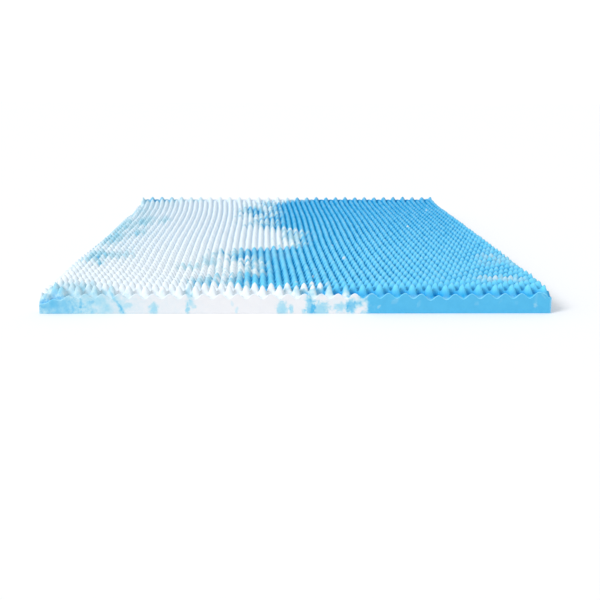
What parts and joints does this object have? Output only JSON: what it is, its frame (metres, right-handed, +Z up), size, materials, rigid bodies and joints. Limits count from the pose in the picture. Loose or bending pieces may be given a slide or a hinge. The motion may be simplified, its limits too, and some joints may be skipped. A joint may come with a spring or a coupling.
{
  "type": "mattress topper",
  "caption": "Full-size convoluted foam mattress topper: a slab with a flat underside, straight cut sides and a top covered in rounded, cone-like bumps.",
  "frame": {"origin": "centre of the flat underside", "axes": "+Z up through the bumps, +Y from the front edge to the back edge along the bed's length, +X to the right seen from the front edge"},
  "size_m": [1.372, 1.905, 0.0846],
  "materials": {
    "foam": "soft matt open-cell foam, white marbled into sky blue"
  },
  "bodies": {
    "root": {"topper_foam": "foam"}
  },
  "joints": []
}
